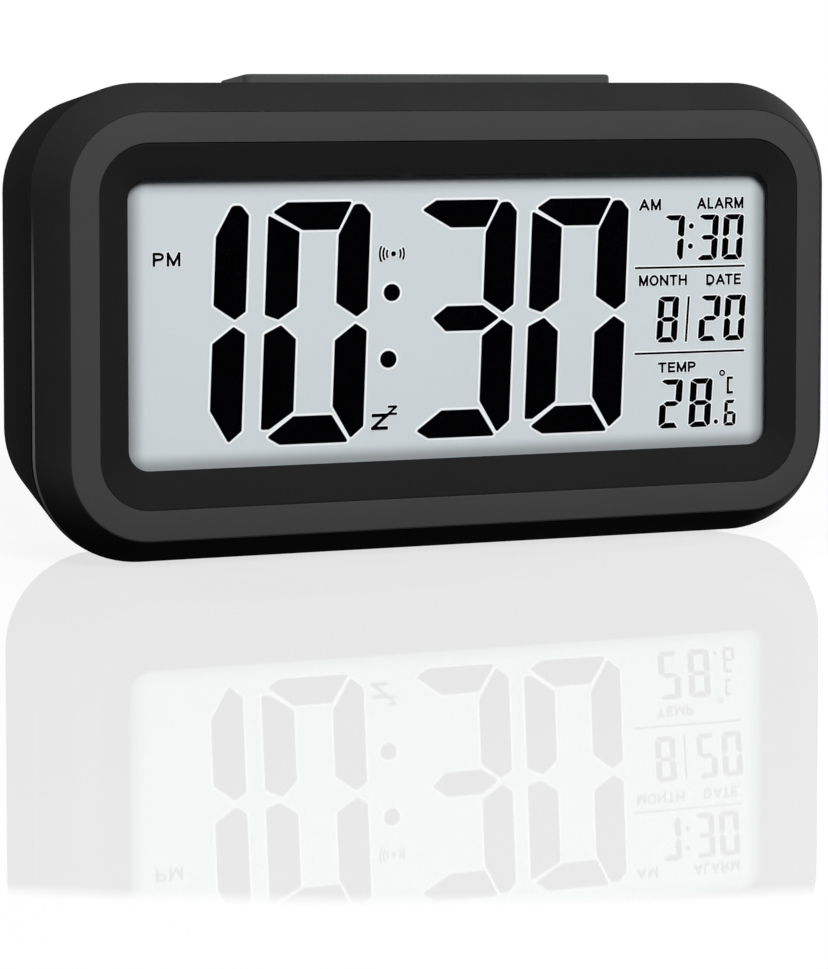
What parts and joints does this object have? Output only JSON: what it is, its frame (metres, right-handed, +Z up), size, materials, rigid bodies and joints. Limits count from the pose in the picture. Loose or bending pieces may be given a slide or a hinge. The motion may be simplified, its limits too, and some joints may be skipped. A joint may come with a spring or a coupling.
{
  "type": "digital desk clock",
  "caption": "Free-standing digital desk clock: rounded black case, grey trim ring, sloping bezel around a wide display, press-down snooze bar, rear keys and hinged battery door.",
  "frame": {"origin": "middle of the footprint, on the plane of the feet", "axes": "+X to the right seen from the display, -Y out of the display, +Z up"},
  "size_m": [0.135, 0.045, 0.0767],
  "materials": {
    "case_black": "fine texture",
    "trim_grey": "satin",
    "bezel_dark": "satin",
    "window_clear": "polished",
    "display_glass": "satin",
    "display_print": "matte",
    "guide_clear": "polished",
    "white_plastic": "matte",
    "led_yellow": "gloss",
    "screw_steel": "bright",
    "contact_rubber": "matte",
    "board_green": "satin",
    "component_black": "satin",
    "snooze_grey": "satin",
    "spring_steel": "bright",
    "lead_insulation": "satin",
    "foot_rubber": "matte",
    "key_black": "satin",
    "plunger_ivory": "satin",
    "slider_grey": "satin",
    "switch_steel": "bright",
    "ribbon_grey": "satin",
    "cell_jacket": "gloss",
    "contact_nickel": "bright"
  },
  "bodies": {
    "base": {"front_case": "case_black", "rear_cover": "case_black", "trim_ring": "trim_grey", "display_bezel": "bezel_dark", "display_window": "window_clear", "lcd_front_glass": "display_glass", "lcd_rear_glass": "display_glass", "lcd_time_digits": "display_print", "lcd_small_digits": "display_print", "light_guide": "guide_clear", "reflector_sheet": "white_plastic", "lcd_tray": "white_plastic", "backlight_leds": "led_yellow", "tray_screws": "screw_steel", "board_screws": "screw_steel", "snooze_screws": "screw_steel", "case_screws": "screw_steel", "key_board_screws": "screw_steel", "zebra_strip": "contact_rubber", "main_board": "board_green", "snooze_board": "board_green", "key_board": "board_green", "board_parts": "component_black", "temperature_sensor": "component_black", "key_switches": "component_black", "buzzer": "component_black", "snooze_springs": "spring_steel", "snooze_leads": "lead_insulation", "battery_leads": "lead_insulation", "buzzer_leads": "lead_insulation", "rubber_feet": "foot_rubber", "slide_switch": "switch_steel", "key_ribbon": "ribbon_grey", "battery_top": "cell_jacket", "battery_middle": "cell_jacket", "battery_bottom": "cell_jacket", "contact_plates": "contact_nickel", "contact_springs": "contact_nickel"},
    "snooze": {"snooze_bar": "snooze_grey", "snooze_pill": "contact_rubber"},
    "time_button": {"time_key": "key_black", "time_plunger": "plunger_ivory"},
    "alarm_button": {"alarm_key": "key_black", "alarm_plunger": "plunger_ivory"},
    "up_button": {"up_key": "key_black", "up_plunger": "plunger_ivory"},
    "down_button": {"down_key": "key_black", "down_plunger": "plunger_ivory"},
    "slider": {"alarm_slider": "slider_grey"},
    "door": {"battery_door": "case_black"}
  },
  "joints": [
    {"name": "snooze_press", "type": "slide", "parent": "base", "child": "snooze", "axis": [0, -0.0704, -0.9975], "range_m": [0, 0.0012], "stiffness_N_per_m": 800, "springref_m": -0.0005, "deforming": ["snooze_springs"]},
    {"name": "time_press", "type": "slide", "parent": "base", "child": "time_button", "axis": [0, -1, 0], "range_m": [0, 0.0005], "stiffness_N_per_m": 1500, "springref_m": -0.0003},
    {"name": "alarm_press", "type": "slide", "parent": "base", "child": "alarm_button", "axis": [0, -1, 0], "range_m": [0, 0.0005], "stiffness_N_per_m": 1500, "springref_m": -0.0003},
    {"name": "up_press", "type": "slide", "parent": "base", "child": "up_button", "axis": [0, -1, 0], "range_m": [0, 0.0005], "stiffness_N_per_m": 1500, "springref_m": -0.0003},
    {"name": "down_press", "type": "slide", "parent": "base", "child": "down_button", "axis": [0, -1, 0], "range_m": [0, 0.0005], "stiffness_N_per_m": 1500, "springref_m": -0.0003},
    {"name": "alarm_slide", "type": "slide", "parent": "base", "child": "slider", "axis": [1, 0, 0], "range_m": [0, 0.003]},
    {"name": "door_hinge", "type": "hinge", "parent": "base", "child": "door", "pos_m": [0, 0.0208, 0.0113], "axis": [-1, 0, 0], "range_deg": [0, 90]}
  ]
}
